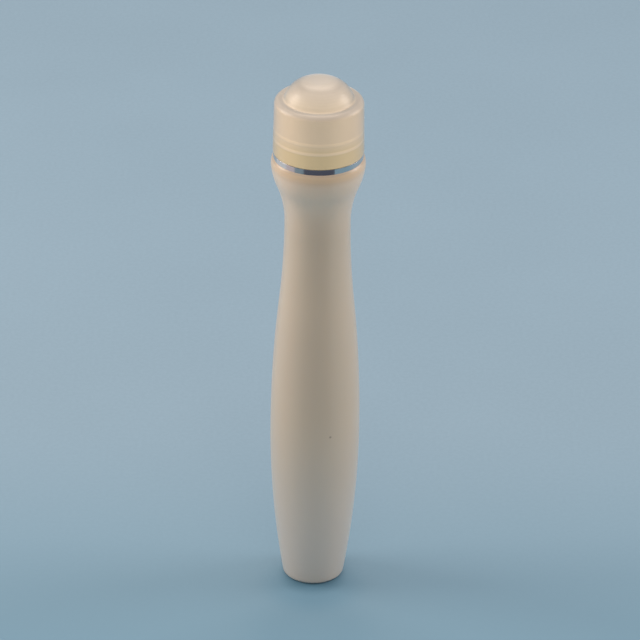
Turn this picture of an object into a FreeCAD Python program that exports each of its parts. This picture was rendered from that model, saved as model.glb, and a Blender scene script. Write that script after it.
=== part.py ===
import FreeCAD, Part
import Sketcher
import math
import os

# A slim roll-on bottle: a hollow pin-shaped bottle, a plated ring round its neck, a plug
# that holds the roller ball, the ball, and a domed push-on cap. Millimetres, +Z up, with
# the origin in the middle of the base. Every size that can be set by itself is one row of
# the tables below. The radii are worked out from the ball outwards, and the heights of
# the neck, the plug and the cap from the bottle's shoulder upwards.

BALL_SIZES = [
    ("ball_radius", 5.0, "roller ball"),
    ("ball_clearance", 0.07, "film gap between ball and socket"),
    ("ball_height", 1.5, "middle of the ball above the plug's flange"),
]

PLUG_SIZES = [
    ("socket_wall", 0.8, "wall round the ball"),
    ("socket_lip_height", 1.8, "lip that holds the ball in, above the ball's middle"),
    ("socket_lip_narrowing", 0.3, "how far the lip tapers in"),
    ("socket_lip_chamfer", 0.2, "chamfer of the lip's outer edge"),
    ("socket_margin", 0.53, "outside of the socket to the neck's bore"),
    ("flange_overhang", 0.3, "flange past the outside of the neck"),
    ("flange_thickness", 0.8, "thickness of the flange"),
    ("flange_chamfer", 0.2, "chamfer of the flange's outer edge"),
    ("plug_slack", 0.25, "plug skirt to the neck's bore"),
    ("plug_wall", 0.85, "wall of the plug's skirt"),
    ("plug_depth", 7.2, "skirt below the flange"),
    ("plug_lead", 0.4, "chamfer round the skirt's lower end"),
    ("plug_bead_clearance", 0.03, "sealing beads to the neck's bore"),
    ("plug_bead_half", 0.4, "half of a sealing bead's height, at its root"),
    ("plug_bead_flat", 0.1, "half of the flat along a sealing bead"),
    ("plug_bead_drop", 1.8, "flange to the first sealing bead"),
    ("plug_bead_pitch", 2.2, "first sealing bead to the second"),
    ("feed_hole_radius", 1.8, "hole that feeds the ball"),
    ("feed_groove_width", 0.8, "grooves that carry the liquid round the ball"),
    ("feed_groove_depth", 0.45, "depth of those grooves"),
    ("feed_groove_drop", 0.6, "end of the grooves below the ball's middle"),
    ("feed_groove_count", 6, "number of grooves"),
]

BOTTLE_SIZES = [
    ("neck_wall", 1.2, "wall of the neck"),
    ("neck_bead_proud", 0.42, "how far the snap bead stands out of the neck"),
    ("neck_bead_half", 0.6, "half of the bead's height, at its root"),
    ("neck_bead_flat", 0.15, "half of the flat along the bead"),
    ("neck_bead_height", 2.35, "middle of the bead above the collar"),
    ("neck_rim_height", 1.15, "rim of the neck above the middle of the bead"),
    ("collar_step", 1.15, "collar that guides the cap, past the neck"),
    ("collar_height", 4.8, "top of the collar above the shoulder"),
    ("collar_chamfer", 0.3, "chamfer of the collar's top"),
    ("shoulder_height", 101.2, "base to the flat shoulder under the ring"),
    ("shoulder_margin", 0.27, "shoulder's rim past the ring"),
    ("shoulder_band", 0.4, "upright band of the rim"),
    ("shoulder_chamfer", 0.25, "chamfer of the rim's upper edge"),
    ("waist_radius", 6.97, "narrowest point"),
    ("waist_drop", 15.1, "shoulder to the narrowest point"),
    ("belly_margin", 0.43, "shoulder's rim past the widest point of the lower body"),
    ("belly_height", 36.6, "height of that widest point"),
    ("base_radius", 6.46, "where the side would meet the base, before its rounding"),
    ("base_edge", 1.0, "rounding round the base"),
    ("base_recess_radius", 4.2, "shallow recess in the base, at its mouth"),
    ("base_recess_depth", 0.5, "depth of that recess in the middle"),
    ("bottle_wall", 1.2, "wall of the body"),
    ("bottle_floor", 1.6, "thickness of the base"),
]

RING_SIZES = [
    ("ring_clearance", 0.05, "ring bore round the collar"),
    ("ring_width", 0.93, "bore of the ring to its outside"),
    ("ring_thickness", 1.2, "height of the ring"),
    ("ring_chamfer", 0.12, "chamfer of the ring's outer edges"),
]

CAP_SIZES = [
    ("cap_gap", 0.1, "cap's lower edge to the ring"),
    ("cap_guide_clearance", 0.08, "cap's mouth round the collar"),
    ("cap_mouth_wall", 0.74, "wall at the mouth"),
    ("cap_lower_chamfer", 0.15, "chamfer of the cap's lower edge"),
    ("cap_side_narrowing", 0.2, "how far the side tapers in up to the shoulder"),
    ("cap_shoulder_edge", 0.9, "rounding of the shoulder's rim"),
    ("cap_wall", 0.9, "wall of the dome and the shoulder"),
    ("cap_dome_gap", 0.9, "inside of the dome above the ball"),
    ("cap_dome_margin", 1.5, "inside of the dome's foot past the ball"),
    ("cap_dome_height", 4.2, "top of the dome above the flat shoulder"),
    ("cap_flat_radius", 1.8, "flat on top of the dome"),
    ("cap_step_gap", 0.3, "step in the bore above the collar"),
    ("cap_bead_clearance", 0.05, "cap's snap bead past the neck's bead"),
    ("cap_bead_proud", 0.38, "how far that bead stands into the bore"),
    ("cap_bead_drop", 1.0, "cap's bead below the neck's bead"),
    ("cap_bead_half", 0.5, "half of the cap bead's height, at its root"),
    ("cap_bead_flat", 0.1, "half of the flat along the cap bead"),
    ("cap_seal_margin", 0.83, "inside of the sealing ring past the socket"),
    ("cap_seal_wall", 0.6, "wall of the sealing ring"),
    ("cap_seal_gap", 0.12, "sealing ring above the plug's flange"),
]

OVERRUN = ("overrun", 1.0, "how far cuts run past a face")
ALL_SIZES = BALL_SIZES + PLUG_SIZES + BOTTLE_SIZES + RING_SIZES + CAP_SIZES + [OVERRUN]

# How a sketch numbers the two ends of a curve, and its own two axes.
START, END = range(1, 3)
HORIZONTAL_AXIS, VERTICAL_AXIS = range(-1, -3, -1)
TOUCH = 1e-4


class Size:
    """A number with the sheet's expression for it, so that one formula gives both."""

    def __init__(self, number, text):
        self.number = number
        self.text = text

    def _join(self, other, sign, number):
        text = other.text if isinstance(other, Size) else repr(other)
        return Size(number, "(%s %s %s)" % (self.text, sign, text))

    def __add__(self, other):
        return self._join(other, "+", self.number + number_of(other))

    def __sub__(self, other):
        return self._join(other, "-", self.number - number_of(other))

    def __mul__(self, other):
        return self._join(other, "*", self.number * number_of(other))

    def __truediv__(self, other):
        return self._join(other, "/", self.number / number_of(other))


def number_of(value):
    return value.number if isinstance(value, Size) else value


def root(value):
    return Size(math.sqrt(value.number), "sqrt(%s)" % value.text)


def crown(run, rise):
    """Radius of an arc that runs `run` sideways and `rise` up, and is level at its top."""
    return (run * run + rise * rise) / (rise * 2)


def fill_sheet(doc):
    sheet = doc.addObject("Spreadsheet::Sheet", "Sizes")
    for row, (alias, number, meaning) in enumerate(ALL_SIZES, start=1):
        sheet.set("A%d" % row, alias)
        sheet.set("B%d" % row, str(number))
        sheet.setAlias("B%d" % row, alias)
        sheet.set("C%d" % row, meaning)
    doc.recompute()
    return sheet


document = FreeCAD.newDocument("roll_on_bottle")
sizes = fill_sheet(document)


def size(alias):
    return Size(float(sizes.get(alias)), "Sizes.%s" % alias)


ZERO = Size(0.0, "0")


# Sketches

def new_body(name):
    body = document.addObject("PartDesign::Body", name)
    body.Label = name
    return body


def new_sketch(body, name):
    """A sketch on the body's XZ plane: x is the radius and y the height."""
    sketch = body.newObject("Sketcher::SketchObject", name)
    plane = next(item for item in body.Origin.OriginFeatures if item.Role == "XZ_Plane")
    sketch.AttachmentSupport = (plane, [""])
    sketch.MapMode = "FlatFace"
    return sketch


def bind(sketch, constraint, value):
    index = sketch.addConstraint(constraint)
    name = "size_%d" % index
    sketch.renameConstraint(index, name)
    sketch.setExpression("Constraints.%s" % name, value.text)


def fix_x(sketch, curve, point, value):
    if value is ZERO:
        sketch.addConstraint(Sketcher.Constraint("PointOnObject", curve, point, VERTICAL_AXIS))
    else:
        bind(sketch, Sketcher.Constraint("DistanceX", curve, point, value.number), value)


def fix_y(sketch, curve, point, value):
    if value is ZERO:
        sketch.addConstraint(Sketcher.Constraint("PointOnObject", curve, point, HORIZONTAL_AXIS))
    else:
        bind(sketch, Sketcher.Constraint("DistanceY", curve, point, value.number), value)


def fix_radius(sketch, curve, value):
    bind(sketch, Sketcher.Constraint("Radius", curve, value.number), value)


def join(sketch, curve, point, other, other_point):
    sketch.addConstraint(Sketcher.Constraint("Coincident", curve, point, other, other_point))


def draw_line(sketch, start, end):
    segment = Part.LineSegment(FreeCAD.Vector(*start, 0), FreeCAD.Vector(*end, 0))
    return sketch.addGeometry(segment)


def draw_arc(sketch, centre, radius, first_angle, last_angle):
    circle = Part.Circle(FreeCAD.Vector(*centre, 0), FreeCAD.Vector(0, 0, 1), radius)
    return sketch.addGeometry(Part.ArcOfCircle(circle, first_angle, last_angle))


def draw_bend(sketch, start, end, radius, centre_on_left):
    """An arc of under half a circle. Returns its index and the ends that meet start and end."""
    (x1, y1), (x2, y2) = start, end
    chord = math.hypot(x2 - x1, y2 - y1)
    side = 1 if centre_on_left else -1
    reach = side * math.sqrt(radius ** 2 - (chord / 2) ** 2) / chord
    centre = ((x1 + x2) / 2 - (y2 - y1) * reach, (y1 + y2) / 2 + (x2 - x1) * reach)
    start_angle = math.atan2(y1 - centre[1], x1 - centre[0])
    end_angle = math.atan2(y2 - centre[1], x2 - centre[0])
    if centre_on_left:
        return draw_arc(sketch, centre, radius, start_angle, end_angle), START, END
    return draw_arc(sketch, centre, radius, end_angle, start_angle), END, START


def draw_loop(sketch, corners):
    """A closed outline, drawn anticlockwise.

    A corner is (x, y), or (x, y, radius, side) where an arc leads from it to the next
    corner, with side "out" for an arc that bulges out of the outline and "in" for a hollow.
    """
    curves = []
    for corner, following in zip(corners, corners[1:] + corners[:1]):
        start = (corner[0].number, corner[1].number)
        end = (following[0].number, following[1].number)
        if len(corner) == 2:
            curves.append((draw_line(sketch, start, end), START, END))
        else:
            radius, side = corner[2:]
            curve = draw_bend(sketch, start, end, radius.number, side == "out")
            fix_radius(sketch, curve[0], radius)
            curves.append(curve)
    for curve, following in zip(curves, curves[1:] + curves[:1]):
        join(sketch, curve[0], curve[2], following[0], following[1])
    for curve, corner in zip(curves, corners):
        fix_x(sketch, curve[0], curve[1], corner[0])
        fix_y(sketch, curve[0], curve[1], corner[1])


# Features

def turn(body, kind, name, sketch):
    """A full turn of the sketch round the body's Z axis, added or cut away."""
    feature = body.newObject(kind, name)
    feature.Profile = sketch
    feature.ReferenceAxis = (sketch, ["V_Axis"])
    feature.Angle = 360.0
    document.recompute()
    return feature


def add_turned(body, name, sketch):
    return turn(body, "PartDesign::Revolution", name, sketch)


def cut_turned(body, name, sketch):
    before = body.Shape.Volume
    feature = turn(body, "PartDesign::Groove", name, sketch)
    if body.Shape.Volume >= before:
        raise RuntimeError("%s cuts nothing" % name)
    return feature


def rims_at(body, height, keep):
    """Names of the body's level circular edges at that height whose radius `keep` accepts."""
    names = []
    for index, edge in enumerate(body.Shape.Edges, start=1):
        box = edge.BoundBox
        level = box.ZLength < TOUCH and abs(box.ZMin - number_of(height)) < TOUCH
        if level and edge.Curve.TypeId == "Part::GeomCircle" and keep(edge.Curve.Radius):
            names.append("Edge%d" % index)
    return names


def near(radius):
    return lambda found: abs(found - number_of(radius)) < TOUCH


def round_rims(body, name, rims, radius):
    base = body.Tip
    feature = body.newObject("PartDesign::Fillet", name)
    feature.Base = (base, rims)
    feature.setExpression("Radius", radius.text)
    document.recompute()


def bevel_rims(body, name, rims, width):
    base = body.Tip
    feature = body.newObject("PartDesign::Chamfer", name)
    feature.Base = (base, rims)
    feature.setExpression("Size", width.text)
    document.recompute()


def bead_corners(wall, crest, middle, half, flat):
    """The four corners, from below, of a bead on an upright wall, with sloping sides."""
    return [
        (wall, middle - half),
        (crest, middle - flat),
        (crest, middle + flat),
        (wall, middle + half),
    ]


# Sizes that several pieces share: radii from the ball outwards, then heights

seat_radius = size("ball_radius") + size("ball_clearance")
socket_radius = seat_radius + size("socket_wall")
bore_radius = socket_radius + size("socket_margin")
neck_radius = bore_radius + size("neck_wall")
neck_bead_radius = neck_radius + size("neck_bead_proud")
collar_radius = neck_radius + size("collar_step")
ring_bore = collar_radius + size("ring_clearance")
ring_radius = ring_bore + size("ring_width")
shoulder_radius = ring_radius + size("shoulder_margin")

shoulder = size("shoulder_height")
ring_top = shoulder + size("ring_thickness")
collar_top = shoulder + size("collar_height")
neck_bead_middle = collar_top + size("neck_bead_height")
neck_rim = neck_bead_middle + size("neck_rim_height")
flange_top = neck_rim + size("flange_thickness")
ball_middle = flange_top + size("ball_height")


# Bottle

BELLY_SHARE = 0.62
FLARE_SHARE = 0.63


def reach(radius, drop):
    """How far a circle reaches sideways at `drop` above or below its centre."""
    return root(radius * radius - drop * drop)


def draw_body_outline(sketch, inset, foot, foot_edge, top, upper_corners):
    """The pin-shaped side between the heights `foot` and `top`, moved in by `inset`.

    It is five arcs that touch each other smoothly: one up to the belly, two from belly to
    waist and two from waist to shoulder. Where two arcs join a widest and a narrowest
    point, they meet on the straight line through those two points. `foot_edge` is the
    rounding under the first arc, or ZERO for a sharp corner.
    """
    belly_radius = shoulder_radius - size("belly_margin")
    belly_height = size("belly_height")
    waist_radius = size("waist_radius")
    waist_height = shoulder - size("waist_drop")
    rim_foot = shoulder - size("shoulder_band")

    lower_curve = crown(belly_height, belly_radius - size("base_radius")) - inset
    taper_reach = crown(waist_height - belly_height, belly_radius - waist_radius)
    belly_curve = taper_reach * BELLY_SHARE - inset
    waist_curve = taper_reach - belly_curve
    swell_reach = crown(rim_foot - waist_height, shoulder_radius - waist_radius)
    flare_curve = swell_reach * FLARE_SHARE + inset
    swell_curve = swell_reach - flare_curve

    belly = belly_radius - inset
    waist = waist_radius - inset
    rim = shoulder_radius - inset
    belly_end = belly_curve / taper_reach
    flare_end = flare_curve / swell_reach

    lower_middle = belly - lower_curve
    edge_drop = belly_height - foot - foot_edge
    edge_reach = reach(lower_curve - foot_edge, edge_drop)
    past_edge = lower_curve / (lower_curve - foot_edge)
    foot_corners = [
        (lower_middle + edge_reach * past_edge, belly_height - edge_drop * past_edge, lower_curve, "out"),
    ]
    if foot_edge is not ZERO:
        foot_corners.insert(0, (lower_middle + edge_reach, foot, foot_edge, "out"))
    draw_loop(sketch, [
        *foot_corners,
        (belly, belly_height, belly_curve, "out"),
        (belly + (waist - belly) * belly_end, belly_height + (waist_height - belly_height) * belly_end,
         waist_curve, "in"),
        (waist, waist_height, flare_curve, "in"),
        (waist + (rim - waist) * flare_end, waist_height + (rim_foot - waist_height) * flare_end,
         swell_curve, "out"),
        (rim - swell_curve + reach(swell_curve, rim_foot - top), top),
        *upper_corners,
    ])


def build_bottle():
    body = new_body("bottle")
    rim_foot = shoulder - size("shoulder_band")

    outside = new_sketch(body, "BottleOutside")
    draw_body_outline(outside, ZERO, ZERO, size("base_edge"), rim_foot, [
        (shoulder_radius, shoulder),
        (collar_radius, shoulder),
        (collar_radius, collar_top),
        (neck_radius, collar_top),
        *bead_corners(neck_radius, neck_bead_radius, neck_bead_middle,
                      size("neck_bead_half"), size("neck_bead_flat")),
        (neck_radius, neck_rim),
        (ZERO, neck_rim),
        (ZERO, ZERO),
    ])
    add_turned(body, "BottleSolid", outside)

    wall = size("bottle_wall")
    floor = size("bottle_floor")
    ceiling = rim_foot - wall
    mouth = neck_rim + size("overrun")
    inside = new_sketch(body, "BottleInside")
    draw_body_outline(inside, wall, floor, ZERO, ceiling, [
        (bore_radius, ceiling),
        (bore_radius, mouth),
        (ZERO, mouth),
        (ZERO, floor),
    ])
    cut_turned(body, "BottleHollow", inside)

    recess_radius = size("base_recess_radius")
    recess_depth = size("base_recess_depth")
    recess = new_sketch(body, "BaseRecessProfile")
    draw_loop(recess, [
        (ZERO, ZERO),
        (recess_radius, ZERO, crown(recess_radius, recess_depth), "out"),
        (ZERO, recess_depth),
    ])
    cut_turned(body, "BaseRecess", recess)

    shoulder_rim = rims_at(body, shoulder, near(shoulder_radius))
    bevel_rims(body, "ShoulderEdge", shoulder_rim, size("shoulder_chamfer"))
    collar_rim = rims_at(body, collar_top, near(collar_radius))
    bevel_rims(body, "CollarEdge", collar_rim, size("collar_chamfer"))
    return body


# Plated ring

def build_ring():
    body = new_body("neck_ring")
    section = new_sketch(body, "RingSection")
    draw_loop(section, [
        (ring_bore, shoulder),
        (ring_radius, shoulder),
        (ring_radius, ring_top),
        (ring_bore, ring_top),
    ])
    add_turned(body, "RingBand", section)
    rims = rims_at(body, shoulder, near(ring_radius)) + rims_at(body, ring_top, near(ring_radius))
    bevel_rims(body, "RingEdges", rims, size("ring_chamfer"))
    return body


# Plug that holds the ball

def build_plug():
    body = new_body("ball_housing")
    lip_height = size("socket_lip_height")
    lip_top = ball_middle + lip_height
    lip_mouth = reach(seat_radius, lip_height)
    feed_radius = size("feed_hole_radius")
    feed_height = reach(seat_radius, feed_radius)
    plug_radius = bore_radius - size("plug_slack")
    skirt_inside = plug_radius - size("plug_wall")
    cup_foot = reach(socket_radius, feed_radius)
    cup_side = reach(socket_radius, skirt_inside)
    skirt_foot = neck_rim - size("plug_depth")
    lead = size("plug_lead")
    bead_crest = bore_radius - size("plug_bead_clearance")
    bead_half = size("plug_bead_half")
    bead_flat = size("plug_bead_flat")
    upper_bead = neck_rim - size("plug_bead_drop")
    lower_bead = upper_bead - size("plug_bead_pitch")
    flange_radius = neck_radius + size("flange_overhang")

    section = new_sketch(body, "PlugSection")
    draw_loop(section, [
        (skirt_inside, skirt_foot),
        (plug_radius - lead, skirt_foot),
        (plug_radius, skirt_foot + lead),
        *bead_corners(plug_radius, bead_crest, lower_bead, bead_half, bead_flat),
        *bead_corners(plug_radius, bead_crest, upper_bead, bead_half, bead_flat),
        (plug_radius, neck_rim),
        (flange_radius, neck_rim),
        (flange_radius, flange_top),
        (socket_radius, flange_top),
        (socket_radius, ball_middle),
        (socket_radius - size("socket_lip_narrowing"), lip_top),
        (lip_mouth, lip_top, seat_radius, "in"),
        (feed_radius, ball_middle - feed_height),
        (feed_radius, ball_middle - cup_foot, socket_radius, "out"),
        (skirt_inside, ball_middle - cup_side),
    ])
    add_turned(body, "PlugSolid", section)

    groove_radius = seat_radius + size("feed_groove_depth")
    groove_drop = size("feed_groove_drop")
    groove_reach = reach(groove_radius, groove_drop)
    groove = new_sketch(body, "FeedGrooveProfile")
    draw_loop(groove, [
        (ZERO, ball_middle - groove_radius, groove_radius, "out"),
        (groove_reach, ball_middle - groove_drop),
        (ZERO, ball_middle - groove_drop),
    ])
    before = body.Shape.Volume
    slot = body.newObject("PartDesign::Pocket", "FeedGroove")
    slot.Profile = groove
    slot.Midplane = True
    slot.setExpression("Length", size("feed_groove_width").text)
    document.recompute()
    pattern = body.newObject("PartDesign::PolarPattern", "FeedGrooves")
    pattern.Originals = [slot]
    pattern.Axis = (groove, ["V_Axis"])
    pattern.Angle = 360.0
    pattern.setExpression("Occurrences", size("feed_groove_count").text)
    body.Tip = pattern
    document.recompute()
    if body.Shape.Volume >= before:
        raise RuntimeError("the feed grooves cut nothing")

    flange_rims = rims_at(body, flange_top, near(flange_radius))
    bevel_rims(body, "FlangeEdge", flange_rims, size("flange_chamfer"))
    lip_rims = rims_at(body, lip_top, lambda found: found > lip_mouth.number + TOUCH)
    bevel_rims(body, "LipEdge", lip_rims, size("socket_lip_chamfer"))
    return body


# Roller ball

def build_ball():
    body = new_body("roller_ball")
    radius = size("ball_radius")
    half_disc = new_sketch(body, "BallSection")
    low, high = ball_middle - radius, ball_middle + radius
    draw_loop(half_disc, [
        (ZERO, low, radius, "out"),
        (radius, ball_middle, radius, "out"),
        (ZERO, high),
    ])
    add_turned(body, "BallSolid", half_disc)
    return body


# Cap

def build_cap():
    body = new_body("cap")
    wall = size("cap_wall")
    foot = ring_top + size("cap_gap")
    inner_top = ball_middle + size("ball_radius") + size("cap_dome_gap")
    top = inner_top + wall
    ledge = top - size("cap_dome_height")
    mouth_radius = collar_radius + size("cap_guide_clearance")
    foot_radius = mouth_radius + size("cap_mouth_wall")
    ledge_radius = foot_radius - size("cap_side_narrowing")
    inner_dome = size("ball_radius") + size("cap_dome_margin")
    dome = inner_dome + wall
    flat = size("cap_flat_radius")
    outside = new_sketch(body, "CapOutside")
    draw_loop(outside, [
        (ZERO, foot),
        (foot_radius, foot),
        (ledge_radius, ledge),
        (dome, ledge, crown(dome - flat, top - ledge), "out"),
        (flat, top),
        (ZERO, top),
    ])
    add_turned(body, "CapSolid", outside)

    step = collar_top + size("cap_step_gap")
    bead_middle = neck_bead_middle - size("cap_bead_drop")
    bead_crest = neck_bead_radius + size("cap_bead_clearance")
    bore = bead_crest + size("cap_bead_proud")
    ceiling = ledge - wall
    seal_inside = socket_radius + size("cap_seal_margin")
    seal_outside = seal_inside + size("cap_seal_wall")
    seal_foot = flange_top + size("cap_seal_gap")
    below = foot - size("overrun")
    inside = new_sketch(body, "CapInside")
    draw_loop(inside, [
        (ZERO, below),
        (mouth_radius, below),
        (mouth_radius, step),
        (bore, step),
        *bead_corners(bore, bead_crest, bead_middle, size("cap_bead_half"), size("cap_bead_flat")),
        (bore, ceiling),
        (seal_outside, ceiling),
        (seal_outside, seal_foot),
        (seal_inside, seal_foot),
        (seal_inside, ceiling),
        (inner_dome, ceiling, crown(inner_dome - flat, inner_top - ceiling), "out"),
        (flat, inner_top),
        (ZERO, inner_top),
    ])
    cut_turned(body, "CapHollow", inside)

    round_rims(body, "CapShoulderEdge", rims_at(body, ledge, near(ledge_radius)), size("cap_shoulder_edge"))
    bevel_rims(body, "CapLowerEdge", rims_at(body, foot, near(foot_radius)), size("cap_lower_chamfer"))
    return body


# Checks and files

def check_document():
    for item in document.Objects:
        if "Invalid" in item.State or "Error" in item.State:
            raise RuntimeError("%s failed: %s" % (item.Name, item.State))


def write_piece(body):
    shape = body.Shape
    if shape.isNull() or not shape.isValid() or len(shape.Solids) != 1:
        raise RuntimeError("%s isn't one sound solid" % body.Label)
    shape.exportStep(os.path.join("parts", body.Label + ".step"))
    box = shape.optimalBoundingBox(True)
    print("%-14s volume %9.2f mm3, height %7.2f to %7.2f mm" % (
        body.Label, shape.Volume, box.ZMin, box.ZMax))


pieces = [build_bottle(), build_ring(), build_plug(), build_ball(), build_cap()]
for piece in pieces:
    piece.Placement = FreeCAD.Placement()
document.recompute()
check_document()
os.makedirs("parts", exist_ok=True)
for piece in pieces:
    write_piece(piece)
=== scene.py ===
"""A slim roll-on bottle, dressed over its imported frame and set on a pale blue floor.

Lengths are in metres, in the frame's own axes: +Z up, with the bottle standing on z = 0.
Every piece of the bottle is turned about the Z axis by one Geometry Nodes tree.
"""

import logging
import math
from dataclasses import dataclass
from enum import Enum
from typing import Any, Callable, Sequence, Union

import bpy
from mathutils import Matrix, Vector

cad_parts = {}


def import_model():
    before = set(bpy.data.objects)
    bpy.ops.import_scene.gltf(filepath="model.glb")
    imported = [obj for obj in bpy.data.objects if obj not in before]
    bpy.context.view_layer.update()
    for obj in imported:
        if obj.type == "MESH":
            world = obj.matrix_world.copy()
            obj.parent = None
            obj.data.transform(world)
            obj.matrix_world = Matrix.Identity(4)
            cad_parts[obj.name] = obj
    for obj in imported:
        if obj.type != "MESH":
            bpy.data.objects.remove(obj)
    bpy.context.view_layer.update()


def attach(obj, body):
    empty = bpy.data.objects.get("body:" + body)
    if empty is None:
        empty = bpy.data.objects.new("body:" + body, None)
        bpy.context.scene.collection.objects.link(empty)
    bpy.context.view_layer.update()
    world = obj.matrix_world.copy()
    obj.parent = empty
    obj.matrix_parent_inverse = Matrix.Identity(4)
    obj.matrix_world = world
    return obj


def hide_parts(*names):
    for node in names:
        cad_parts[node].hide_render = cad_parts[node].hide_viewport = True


MM = 0.001
log = logging.getLogger("roll_on_bottle")

Number = Union[int, float]
Term = Union["Wire", Number]
Colour = tuple[float, float, float]
Point = tuple[float, float]
Span = tuple[float, float]
Place = tuple[float, float, float]

# Sizes that neighbouring pieces share

SHOULDER = 101.2 * MM
COLLAR_RADIUS = 8.75 * MM
RING_TOP = 102.4 * MM
NECK_TOP = 109.5 * MM
FLANGE_TOP = 110.3 * MM
BALL_RADIUS = 5.0 * MM
BALL_MIDDLE = 111.8 * MM


class Wrap(Enum):
    """How a turned outline closes on itself."""

    TO_AXIS = "both ends lie on the axis"
    LOOP = "the last point leads back to the first"


# Node trees


class Wire:
    """A socket's value, so that node maths reads as ordinary sums."""

    def __init__(self, recipe: "Recipe", socket: bpy.types.NodeSocket) -> None:
        """Keeps the recipe that owns the socket, and the socket.

        Args:
            recipe: The node tree's builder.
            socket: The output socket that carries the value.
        """
        self.recipe = recipe
        self.socket = socket

    def _maths(self, operation: str, *values: Term) -> "Wire":
        """Adds one Math node on the given values, and returns its result."""
        return self.recipe.node("ShaderNodeMath", {"operation": operation}, dict(enumerate(values)))

    def __add__(self, other: Term) -> "Wire":
        """Sum."""
        return self._maths("ADD", self, other)

    __radd__ = __add__

    def __sub__(self, other: Term) -> "Wire":
        """Difference."""
        return self._maths("SUBTRACT", self, other)

    def __rsub__(self, other: Number) -> "Wire":
        """Difference from a number, such as 1 - mask."""
        return self._maths("SUBTRACT", other, self)

    def __mul__(self, other: Term) -> "Wire":
        """Product."""
        return self._maths("MULTIPLY", self, other)

    __rmul__ = __mul__

    def __truediv__(self, other: Term) -> "Wire":
        """Quotient."""
        return self._maths("DIVIDE", self, other)

    def __rtruediv__(self, other: Number) -> "Wire":
        """A number over this value."""
        return self._maths("DIVIDE", other, self)

    def floor(self) -> "Wire":
        """Whole part."""
        return self._maths("FLOOR", self)

    def angle_to(self, other: "Wire") -> "Wire":
        """Angle in radians whose tangent is this value over the other."""
        return self._maths("ARCTAN2", self, other)

    def sine(self) -> "Wire":
        """Sine of an angle in radians."""
        return self._maths("SINE", self)

    def cosine(self) -> "Wire":
        """Cosine of an angle in radians."""
        return self._maths("COSINE", self)

    def band(self, middle: float, half: float, soft: float) -> "Wire":
        """A mask that is 1 within `half` of `middle` and fades to 0 over `soft` past it.

        Args:
            middle: Value at the band's middle.
            half: Half of the band's full part.
            soft: Width of the fade on each side.

        Returns:
            The mask, from 0 to 1.
        """
        away = self._maths("ABSOLUTE", self - middle)
        return self.recipe.ramp(away, half + soft, half)

    def above(self, low: float, high: float) -> "Wire":
        """A smooth step from 0 at `low` to 1 at `high`."""
        return self.recipe.ramp(self, low, high)


Value = Union[Wire, Number, Sequence[float]]
Inputs = dict[Union[int, str], Value]


class Recipe:
    """Adds nodes to one tree, and joins them up."""

    def __init__(self, tree: bpy.types.NodeTree) -> None:
        """Keeps the tree.

        Args:
            tree: The node tree to build in.
        """
        self.tree = tree

    def add(self, kind: str, settings: dict[str, Any], inputs: Inputs) -> bpy.types.Node:
        """Adds a node.

        Args:
            kind: The node's type, such as ShaderNodeMath.
            settings: Its properties, set before its sockets.
            inputs: Values or wires for its sockets, by name or number.

        Returns:
            The node.
        """
        node = self.tree.nodes.new(kind)
        for name, value in settings.items():
            setattr(node, name, value)
        for name, value in inputs.items():
            if isinstance(value, Wire):
                self.tree.links.new(value.socket, node.inputs[name])
            else:
                node.inputs[name].default_value = value
        return node

    def node(self, kind: str, settings: dict[str, Any], inputs: Inputs,
             output: Union[int, str] = 0) -> Wire:
        """Adds a node and returns one of its outputs.

        Args:
            kind: The node's type.
            settings: Its properties.
            inputs: Values or wires for its sockets.
            output: The output's name or number.

        Returns:
            The output as a wire.
        """
        return Wire(self, self.add(kind, settings, inputs).outputs[output])

    def ramp(self, value: Wire, low: float, high: float) -> Wire:
        """A smooth step of a value from 0 at `low` to 1 at `high`, whichever is larger."""
        return self.node("ShaderNodeMapRange", {"interpolation_type": "SMOOTHSTEP"},
                         {"Value": value, "From Min": low, "From Max": high})


# Turned shapes


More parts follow.
